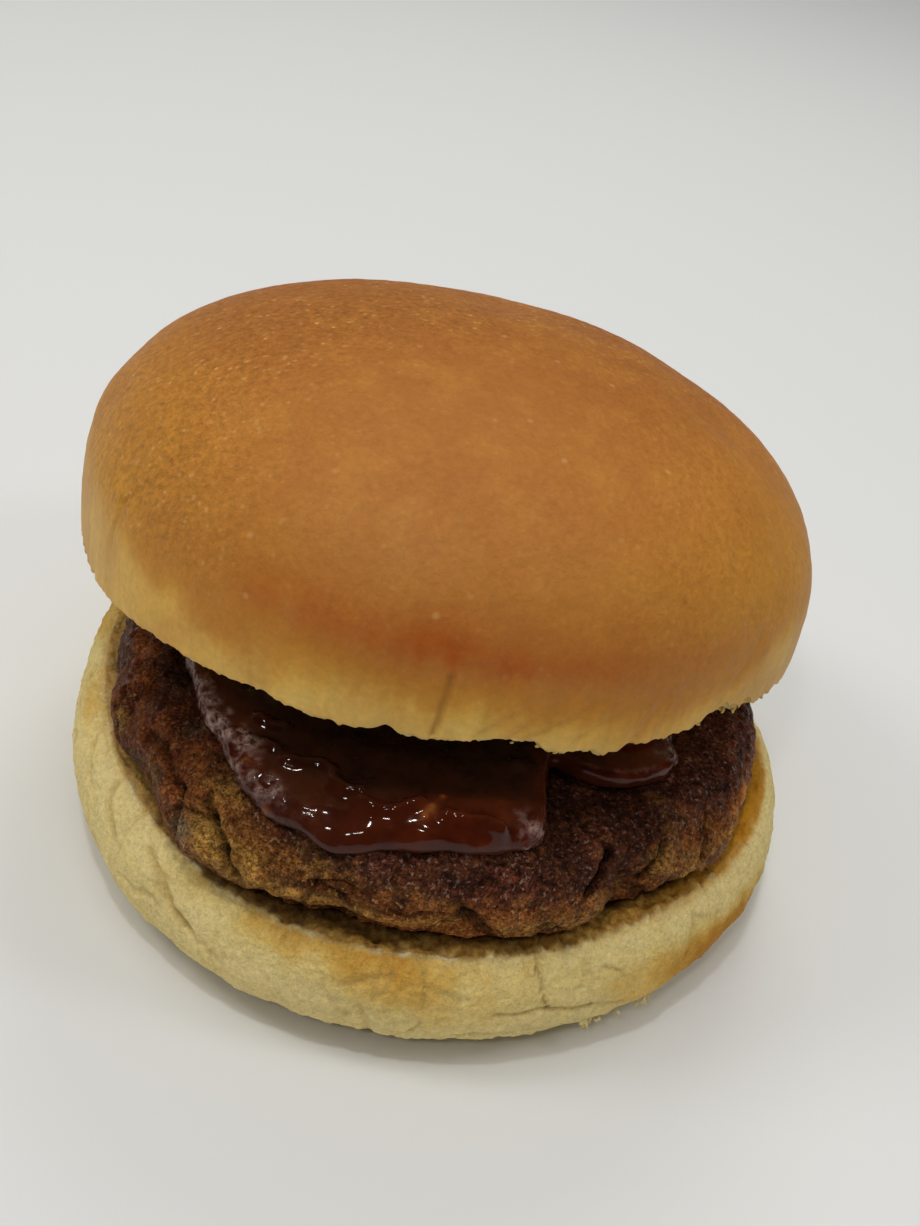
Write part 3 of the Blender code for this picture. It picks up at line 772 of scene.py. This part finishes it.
def make_patty():
    body = Body("meat_patty", PATTY_COLUMNS, PATTY_STEPS, patty_point)
    points, angle, _, level = body.read(PATTY_CENTRE)
    crack = bell(cloud(points, 0.008, 2, 11), 0.05) * smooth(0.5 + 2 * cloud(points, 0.012, 1, 5))
    holes = pits(angle, level)
    folds = creases(angle, level + 0.0006 * cloud(points, 0.003, 2, 21), BUN_RADIUS, PATTY_FOLDS)
    bits = spots(angle, level, PATTY_BITS)
    relief = (
        clouds(points, PATTY_RELIEF) + mince(points)
        - 0.00045 * crack - holes - 1.3 * folds + 0.0005 * np.minimum(bits, 1)
    )
    hidden = smooth((body.step - 2.7) * 2)
    body.swell(relief * (1 - 0.6 * hidden) - 0.0001)

    mottle = cloud(points, 0.005, 4, 2)
    charred = smooth((level - around(angle, PATTY_CHAR) + 0.003) / 0.0045)
    tone = around(angle, PATTY_TONE, blur=8) + spots(angle, level, PATTY_SHADES)
    # Painted shade and light: darker where the relief sinks, lighter where it rises.
    raised = np.clip((relief - 0.0003) / 0.0008, -1.5, 1.5)
    fibres = unrolled(angle, level + 0.0016 * cloud(points, 0.009, 2, 17), 0.3 * BUN_RADIUS)
    paint(
        body.mesh,
        char=1.05 * charred + 0.25 * mottle,
        gold=spots(angle, level, PATTY_GOLD) * (1.0 + 0.5 * mottle) + 0.08 * mottle,
        warm=around(angle, PATTY_WARM) + 0.4 * mottle,
        tone=0.5 * tone * (1 + 0.34 * raised),
        fibre=0.5 + 0.5 * cloud(fibres, 0.0011, 3, 15),
        grey=0.8 * spots(angle, level, PATTY_GREY),
        # Painted shade in the holes, cracks and folds.
        hollow=700 * holes + 0.4 * crack + 650 * folds,
        bit=bits * (1 + 0.6 * cloud(points, 0.001, 2, 9)),
    )
    return body


def welts(points):
    """Height of the raised welts on the sauce, 0 to 1."""
    x, y, _ = points.T
    off = [
        off_line(x - start[0], y - start[1], np.subtract(end, start))
        for path in SAUCE_WELTS for start, end in zip(path, path[1:])
    ]
    return bell(np.min(off, axis=0), WELT_WIDTH)


def make_sauce():
    body = Body("brown_sauce", SAUCE_COLUMNS, SAUCE_STEPS, sauce_point)
    points, angle, reach, _ = body.read(SAUCE_CENTRE)
    inset = sauce_edge(angle) - reach
    film = (
        spots(angle, reach, SAUCE_FILM) + spots(angle, inset, SAUCE_LOBE_FILM)
        + bump(angle, -132, 15) * smooth((0.0026 - inset) / 0.0016)
        + 0.7 * bump(angle, -68, 3) * smooth((reach - 0.0355) / 0.002)
        + 0.9 * bump(angle, -30, 4) * smooth((reach - 0.0325) / 0.0015)
    )
    shown = smooth((body.step - 1.0) * 4)
    rolls = cloud(points * (1, 1, 0), 0.0052, 2, 12) * bell(body.step - 1.5, 0.45)
    x, y, _ = points.T
    bits = np.max([bell(np.hypot(x - x_at, y - y_at), wide) for x_at, y_at, wide in SAUCE_BITS], axis=0)
    relief = (
        clouds(points, SAUCE_RELIEF) + 0.00055 * rolls + 0.00025 * bits
        + 0.001 * welts(points) * (0.92 + 0.28 * cloud(points, 0.0026, 2, 7))
        + 0.00028 * film * cloud(points, 0.0011, 4, 8)
    )
    body.swell(relief * shown)

    thin = smooth((0.0068 - inset) / 0.004 + 0.35 * cloud(points, 0.005, 2, 6))
    paint(
        body.mesh,
        lip=bell(body.step - 1.32, 0.2),
        # Lighter where thin; darker round -108 degrees, a painted shade against the front lamp's light
        # there; lighter on the second lobe.
        thin=thin * (1 - 0.65 * bump(angle, -108, 16)) + 0.8 * bump(angle, -42, 14),
        film=film * shown * (0.45 + 1.6 * cloud(points, 0.0016, 4, 3)),
        bit=1.1 * bits * shown * (0.8 + 0.9 * cloud(points, 0.0012, 2, 19)),
    )
    return body


def wall_place(degrees, height):
    """Place on the bottom bun's side at a height."""
    x, y, z = bottom_point(np.linspace(1.02, 2.98, 200), np.full(200, np.radians(degrees)))
    return Vector([float(np.interp(height, z, line)) for line in (x, y, z)])


def rim_place(degrees):
    """Place on the torn rim of the top bun."""
    place = top_point(np.full(1, 1.02), np.full(1, np.radians(degrees)))
    return TOP_POSE @ Vector([float(line[0]) for line in place])


def add_flake(made, place, size, stretch, random):
    """One ragged crumb, stretched along its own z."""
    turn = Matrix.Rotation(random.uniform(0, 6.3), 4, "Z")
    lean = Matrix.Rotation(random.uniform(-0.6, 0.6), 4, "X")
    grown = Matrix.Diagonal((size, 0.45 * size, stretch * size, 1))
    shape = Matrix.Translation(place) @ turn @ lean @ grown
    for vert in bmesh.ops.create_icosphere(made, subdivisions=2, radius=1.0)["verts"]:
        vert.co = shape @ (vert.co * random.uniform(0.55, 1.15))


def mesh_from(made, name):
    """Mesh of what was made, which is then let go."""
    mesh = bpy.data.meshes.new(name)
    made.to_mesh(mesh)
    made.free()
    return mesh


def make_crumbs():
    """Crumbs and flakes clinging to the top bun's torn rim and the bottom bun's side."""
    random = np.random.default_rng(11)
    made = bmesh.new()
    for degrees, height, size, stretch in HANGING_CRUMBS:
        for _ in range(CRUMBS_IN_CLUMP):
            shift = Vector([float(random.uniform(-0.6, 0.6)) * size for _ in range(3)])
            add_flake(made, wall_place(degrees, height) + shift, 0.5 * size, stretch, random)
    for first, last, count, size in RIM_FLAKES:
        for degrees in random.uniform(first, last, count):
            x, y = place_at(np.radians(degrees), 0.15 * size)
            shift = Vector((float(x), float(y), float(random.uniform(-0.4, 0.5)) * size))
            size_here = size * random.uniform(0.5, 1.0)
            add_flake(made, rim_place(degrees) + shift, size_here, random.uniform(0.5, 1.0), random)
    mesh = mesh_from(made, "loose_crumbs")
    mesh.shade_smooth()
    height = rows_of(mesh.vertices, "co")[:, 2]
    # A middle rise leaves the crumbs without the bread's painted relief shade.
    paint(mesh, bake=CRUMB_BAKE * (height > BOTTOM_HEIGHT), rise=0.5 + 0 * height)
    return add_object("loose_crumbs", mesh)


# ---- materials


class Nodes:
    """Short way to add nodes to a tree and join them."""

    def __init__(self, tree):
        self.tree = tree

    def put(self, socket, value):
        if isinstance(value, bpy.types.NodeSocket):
            self.tree.links.new(value, socket)
        else:
            socket.default_value = value

    def add(self, kind, values=(), **settings):
        node = self.tree.nodes.new(kind)
        for key, value in settings.items():
            setattr(node, key, value)
        for key, value in dict(values).items():
            self.put(node.inputs[key], value)
        return node

    def math(self, operation, *values):
        return self.add("ShaderNodeMath", enumerate(values), operation=operation).outputs[0]

    def times(self, first, *others):
        for other in others:
            first = self.math("MULTIPLY", first, other)
        return first


class Shader(Nodes):
    """A material whose colour is laid on coat by coat. A name stands for a number painted on the mesh."""

    def __init__(self, name):
        self.material = bpy.data.materials.new(name)
        self.material.use_nodes = True
        super().__init__(self.material.node_tree)
        self.place = self.add("ShaderNodeTexCoord").outputs["Object"]
        self.colour = None
        self.under = {}

    def put(self, socket, value):
        if isinstance(value, str):
            value = self.add("ShaderNodeAttribute", attribute_name=value).outputs["Fac"]
        super().put(socket, value)

    def grain(self, size, detail=3.0, rough=0.55):
        """Noise with features of a size in metres, 0 to 1."""
        values = {"Vector": self.place, "Scale": 1 / size, "Detail": detail, "Roughness": rough}
        return self.add("ShaderNodeTexNoise", values).outputs[0]

    def cells(self, size):
        """Distance to the nearest of points scattered about a size apart."""
        values = {"Vector": self.place, "Scale": 1 / size, "Randomness": 1.0}
        return self.add("ShaderNodeTexVoronoi", values).outputs["Distance"]

    def spread(self, value, low, high, to_low=0.0, to_high=1.0):
        """Map a range of a value onto another, clamped."""
        values = {"Value": value, "From Min": low, "From Max": high, "To Min": to_low, "To Max": to_high}
        return self.add("ShaderNodeMapRange", values).outputs["Result"]

    def uneven(self, value, noise, amount):
        """A value made uneven by noise."""
        return self.math("ADD", value, self.spread(noise, 0.3, 0.7, -amount, amount))

    def ramp(self, value, *stops):
        """Colour through (place, red, green, blue) stops."""
        node = self.add("ShaderNodeValToRGB", {"Fac": value})
        band = node.color_ramp
        while len(band.elements) < len(stops):
            band.elements.new(0.5)
        for element, (at, *colour) in zip(band.elements, stops):
            element.position = at
            element.color = (*colour, 1)
        return node.outputs["Color"]

    def mix(self, share, first, second):
        values = {0: share, 6: first, 7: second}
        for key in (6, 7):
            if not isinstance(values[key], bpy.types.NodeSocket):
                values[key] = (*values[key], 1)
        return self.add("ShaderNodeMix", values, data_type="RGBA").outputs[2]

    def lay(self, share, colour):
        """Lay a coat of a share of a colour over what is there."""
        self.colour = self.mix(share, self.colour, colour)

    def shade(self, amount):
        """Multiply the colour by a number."""
        values = {0: 1.0, 6: self.colour, 7: amount}
        self.colour = self.add("ShaderNodeMix", values, data_type="RGBA", blend_type="MULTIPLY").outputs[2]

    def bump(self, height, depth):
        """Raise the surface by a depth in metres, on top of what is there."""
        values = {"Height": height, "Distance": depth, "Strength": 1.0, **self.under}
        self.under = {"Normal": self.add("ShaderNodeBump", values).outputs["Normal"]}

    def finish(self, **values):
        """Material whose surface has the laid colour, the bumps and some settings."""
        for key, value in {"Base_Color": self.colour, **self.under, **values}.items():
            self.put(self.tree.nodes["Principled BSDF"].inputs[key.replace("_", " ")], value)
        return self.material


def crust_material():
    s = Shader("baked_crust")
    bake = s.uneven("bake", s.grain(0.001, 5, 0.65), 0.05)
    s.colour = s.ramp(
        bake, (0.0, 0.79, 0.51, 0.13), (0.22, 0.74, 0.42, 0.078), (0.45, 0.62, 0.29, 0.04),
        (0.68, 0.54, 0.22, 0.026), (0.88, 0.5, 0.195, 0.032), (1.0, 0.47, 0.176, 0.036))
    # Yellower and lighter on the dome's sides, the lightness a painted light.
    s.lay(s.times("olive", 0.6), (0.71, 0.34, 0.032))
    s.lay(s.times("brown", 0.8), (0.39, 0.14, 0.033))
    s.lay(s.spread(s.grain(0.011, 3), 0.4, 0.7, 0.0, 0.42), (0.43, 0.152, 0.029))
    s.lay(s.spread(s.grain(0.005, 3), 0.45, 0.75, 0.0, 0.42), (0.58, 0.255, 0.047))
    s.lay("red", (0.43, 0.09, 0.008))
    # Pale granules where the crust is coarse, lighter as painted glints.
    granules = s.spread(s.cells(0.0014), 0.1, 0.27, 1.0, 0.0)
    gathered = s.spread(s.grain(0.005, 3), 0.36, 0.56)
    s.lay(s.times(granules, gathered, s.spread("coarse", 0.0, 1.0, 0.08, 0.8)), (0.74, 0.39, 0.135))
    dots = s.spread(s.cells(0.0036), 0.05, 0.15, 1.0, 0.0)
    s.lay(s.times(dots, s.spread(s.grain(0.006, 1), 0.48, 0.58), 0.3), (0.76, 0.45, 0.18))
    fine = s.math("SUBTRACT", s.grain(0.0009, 4, 0.75), 0.5)
    fine = s.times(fine, s.spread("coarse", 0.0, 1.0, 0.45, 1.55))
    s.shade(s.math("ADD", fine, 1.0))
    # Painted shade in the creases.
    s.lay("crease", (0.4, 0.18, 0.03))
    s.shade(s.spread("fibre", 0.2, 0.8, 0.94, 1.06))
    crumb = s.mix(s.spread(s.grain(0.0012, 4), 0.35, 0.7), (0.8, 0.62, 0.3), (0.64, 0.41, 0.12))
    s.lay("crumb", crumb)
    coarse = s.spread("coarse", 0.0, 1.0, 0.25, 1.0)
    s.bump(s.times(s.grain(0.0011, 4, 0.65), coarse), 0.0006)
    s.bump(s.times(s.cells(0.001), coarse), 0.00014)
    return s.finish(Roughness=0.5, Specular_IOR_Level=0.16)


def bread_material():
    s = Shader("pale_bread")
    bake = s.uneven("bake", s.grain(0.001, 5, 0.65), 0.06)
    s.colour = s.ramp(
        bake, (0.0, 0.93, 0.76, 0.36), (0.25, 0.89, 0.68, 0.26), (0.5, 0.82, 0.53, 0.14),
        (0.75, 0.72, 0.41, 0.08), (1.0, 0.64, 0.29, 0.04))
    # Painted shade in the side's creases and wrinkles.
    s.lay("crack", (0.56, 0.36, 0.11))
    crumb = s.mix(s.spread(s.grain(0.0011, 4), 0.35, 0.65), (0.86, 0.68, 0.33), (0.64, 0.4, 0.11))
    s.lay("crumb", crumb)
    soaked = s.ramp(
        s.grain(0.0011, 5), (0.32, 0.2, 0.095, 0.017), (0.5, 0.42, 0.22, 0.042),
        (0.68, 0.62, 0.39, 0.1))
    s.lay("soak", soaked)
    s.lay(s.times("oil", 0.95), (0.58, 0.26, 0.018))
    # Deepest soak and painted shade under the patty.
    darkest = s.mix(s.spread(s.grain(0.0009, 3), 0.4, 0.7), (0.075, 0.032, 0.01), (0.24, 0.115, 0.026))
    s.lay("dark", darkest)
    s.lay("fuzz", (0.88, 0.74, 0.4))
    wrinkle = s.math("ABSOLUTE", s.math("SUBTRACT", s.grain(0.0019, 4, 0.7), 0.5))
    s.shade(s.spread(s.grain(0.0006, 3, 0.8), 0.36, 0.64, 0.91, 1.1))
    # Painted shade: thin dark lines along fine wrinkles.
    s.shade(s.spread(wrinkle, 0.0, 0.035, 0.86, 1.02))
    # Painted shade low on the side, where it curves in over the floor.
    s.shade(s.spread("foot", 0.0, 1.0, 1.0, 0.5))
    # Painted shade in the relief's hollows and painted light on its rises.
    s.shade(s.spread("rise", 0.0, 1.0, 0.91, 1.09))
    s.bump(s.grain(0.0014, 5, 0.68), 0.00055)
    s.bump(s.grain(0.0008, 3, 0.7), 0.00026)
    return s.finish(Roughness=0.8, Specular_IOR_Level=0.12)


def meat_material():
    s = Shader("browned_meat")
    mottle = s.grain(0.003, 6, 0.66)
    s.colour = s.ramp(
        mottle, (0.32, 0.036, 0.009, 0.0024), (0.46, 0.11, 0.032, 0.0066),
        (0.56, 0.172, 0.063, 0.013), (0.7, 0.29, 0.13, 0.027))
    redder = s.mix(s.spread(mottle, 0.36, 0.64), (0.105, 0.017, 0.0045), (0.3, 0.075, 0.016))
    s.lay(s.times("warm", 0.8), redder)
    gold = s.ramp(
        s.grain(0.0014, 5, 0.7), (0.3, 0.15, 0.057, 0.01), (0.5, 0.36, 0.175, 0.032),
        (0.7, 0.7, 0.41, 0.095))
    s.lay(s.times("gold", 0.9), gold)
    s.lay("grey", (0.24, 0.19, 0.1))
    rough_char = s.uneven("char", s.grain(0.0024, 6, 0.7), 0.35)
    dark = s.ramp(s.grain(0.0007, 4), (0.35, 0.011, 0.0027, 0.0019), (0.65, 0.072, 0.02, 0.0115))
    s.lay(s.spread(rough_char, 0.25, 1.0, 0.0, 0.92), dark)
    s.shade(s.spread(s.grain(0.00052, 3, 0.8), 0.38, 0.62, 0.38, 1.62))
    s.shade(s.spread("fibre", 0.2, 0.8, 0.76, 1.24))
    # Painted glints: tiny light specks, gold on the meat and pale on the char.
    sparkle = s.spread(s.grain(0.0005, 2), 0.58, 0.67)
    s.lay(s.times(sparkle, 0.5), s.mix("char", (0.6, 0.32, 0.095), (0.25, 0.155, 0.125)))
    # Lightness of the meat, with painted shade in the relief's hollows.
    s.shade(s.spread("tone", 0.0, 1.0, 0.0, 2.0))
    # Near black: painted shade in the holes, cracks and folds.
    s.lay("hollow", (0.006, 0.002, 0.001))
    s.lay("bit", (0.62, 0.23, 0.035))
    greasy = s.spread(s.grain(0.0008, 3), 0.5, 0.6, 0.55, 0.18)
    s.bump(s.grain(0.0016, 4, 0.65), 0.001)
    s.bump(s.grain(0.0006, 3, 0.7), 0.0008)
    return s.finish(Roughness=greasy, Specular_IOR_Level=0.12)


def sauce_material():
    s = Shader("wet_sauce")
    deep = s.mix(s.spread(s.grain(0.004, 4), 0.35, 0.68), (0.022, 0.0056, 0.0029), (0.046, 0.0112, 0.0052))
    thin = s.mix(s.spread(s.grain(0.003, 4), 0.35, 0.68), (0.046, 0.007, 0.0024), (0.098, 0.016, 0.0046))
    s.colour = s.mix("thin", deep, thin)
    s.lay(s.times("lip", 0.4), (0.07, 0.018, 0.008))
    wrinkle = s.grain(0.0007, 3)
    s.lay(s.times("film", s.spread(wrinkle, 0.35, 0.65)), (0.42, 0.275, 0.235))
    s.lay("bit", (0.25, 0.07, 0.016))
    rough = s.math("ADD", s.spread("film", 0.0, 1.0, 0.08, 0.24), s.times("lip", 0.3))
    s.bump(s.grain(0.003, 2), 0.00012)
    s.bump(s.times("film", wrinkle), 0.0006)
    return s.finish(
        Roughness=rough, Specular_IOR_Level=0.28,
        Subsurface_Weight=0.08, Subsurface_Radius=(1.0, 0.25, 0.1), Subsurface_Scale=0.0012)


def floor_material():
    s = Shader("plain_surface")
    s.colour = FLOOR_COLOUR
    return s.finish(Roughness=0.6, Specular_IOR_Level=0.2)


# ---- stage


def make_floor():
    made = bmesh.new()
    bmesh.ops.create_grid(made, x_segments=8, y_segments=8, size=FLOOR_REACH)
    floor = add_object("floor", mesh_from(made, "floor"))
    floor.data.materials.append(floor_material())


def add_lamp(name, around_at, up_at, power, width):
    light = bpy.data.lights.new(name, "AREA")
    light.shape = "DISK"
    light.size = width
    light.energy = power
    light.color = LAMP_COLOUR
    lamp = add_object(name, light)
    turn, rise = np.radians(around_at), np.radians(up_at)
    toward = Vector((*place_at(turn, np.cos(rise)), np.sin(rise)))
    lamp.location = toward * LAMP_REACH
    lamp.visible_glossy = name in GLINT_LAMPS
    lamp.rotation_euler = toward.to_track_quat("Z", "Y").to_euler()


def light_room():
    """Soft light, strongest overhead and from the back left."""
    world = bpy.data.worlds.new("room")
    world.use_nodes = True
    nodes = Nodes(world.node_tree)
    direction = nodes.add("ShaderNodeTexCoord").outputs["Generated"]
    up = nodes.add("ShaderNodeSeparateXYZ", {0: direction}).outputs["Z"]

    def along(way):
        values = {0: direction, 1: way}
        return nodes.add("ShaderNodeVectorMath", values, operation="DOT_PRODUCT").outputs["Value"]

    height = nodes.math("MULTIPLY_ADD", nodes.math("POWER", up, ROOM_GATHER), ROOM_TOP, ROOM_LOW)
    soft = nodes.times(height, nodes.math("ADD", along(ROOM_LEAN), 1.0))
    low = nodes.math("POWER", nodes.math("SUBTRACT", 1.0, up), ROOM_FRONT_FADE)
    front = nodes.times(nodes.math("MAXIMUM", along(ROOM_FRONT_FROM), 0.0), ROOM_FRONT)
    back = world.node_tree.nodes["Background"]
    nodes.put(back.inputs["Color"], ROOM_COLOUR)
    nodes.put(back.inputs["Strength"], nodes.math("MULTIPLY_ADD", low, front, soft))
    bpy.context.scene.world = world
    world.cycles_visibility.glossy = False


def light_scene():
    light_room()
    for lamp in LAMPS:
        add_lamp(*lamp)


def add_camera():
    data = bpy.data.cameras.new("camera")
    data.sensor_width = SENSOR
    data.lens = SENSOR * PHOTO_FOCUS / PHOTO_HEIGHT
    data.clip_start = NEAREST
    camera = add_object("camera", data)
    facing = Matrix.Rotation(np.radians(90 - STEEPNESS), 3, "X") @ Matrix.Rotation(np.radians(ROLL), 3, "Z")
    place = Vector(TARGET) + facing @ Vector((0, 0, DISTANCE))
    camera.matrix_world = Matrix.LocRotScale(place, facing, None)
    bpy.context.scene.camera = camera


def finish_piece(body, material, node):
    body.mesh.materials.append(material)
    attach(body.object, "root")
    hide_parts(node)


def finish_crumbs(crumbs):
    crumbs.data.materials.append(bread_material())
    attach(crumbs, "root")


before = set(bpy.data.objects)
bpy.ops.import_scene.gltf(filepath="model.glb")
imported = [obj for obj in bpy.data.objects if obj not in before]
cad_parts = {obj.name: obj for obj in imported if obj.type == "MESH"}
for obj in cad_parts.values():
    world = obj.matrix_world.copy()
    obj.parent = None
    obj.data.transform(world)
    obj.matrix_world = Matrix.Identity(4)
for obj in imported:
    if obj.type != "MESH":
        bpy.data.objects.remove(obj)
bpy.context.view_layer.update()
bpy.context.scene.view_settings.view_transform = "Standard"
finish_piece(make_bottom(), bread_material(), "bun_bottom")
finish_piece(make_patty(), meat_material(), "patty")
finish_piece(make_sauce(), sauce_material(), "sauce")
finish_piece(make_top(), crust_material(), "bun_top")
finish_crumbs(make_crumbs())
make_floor()
light_scene()
add_camera()
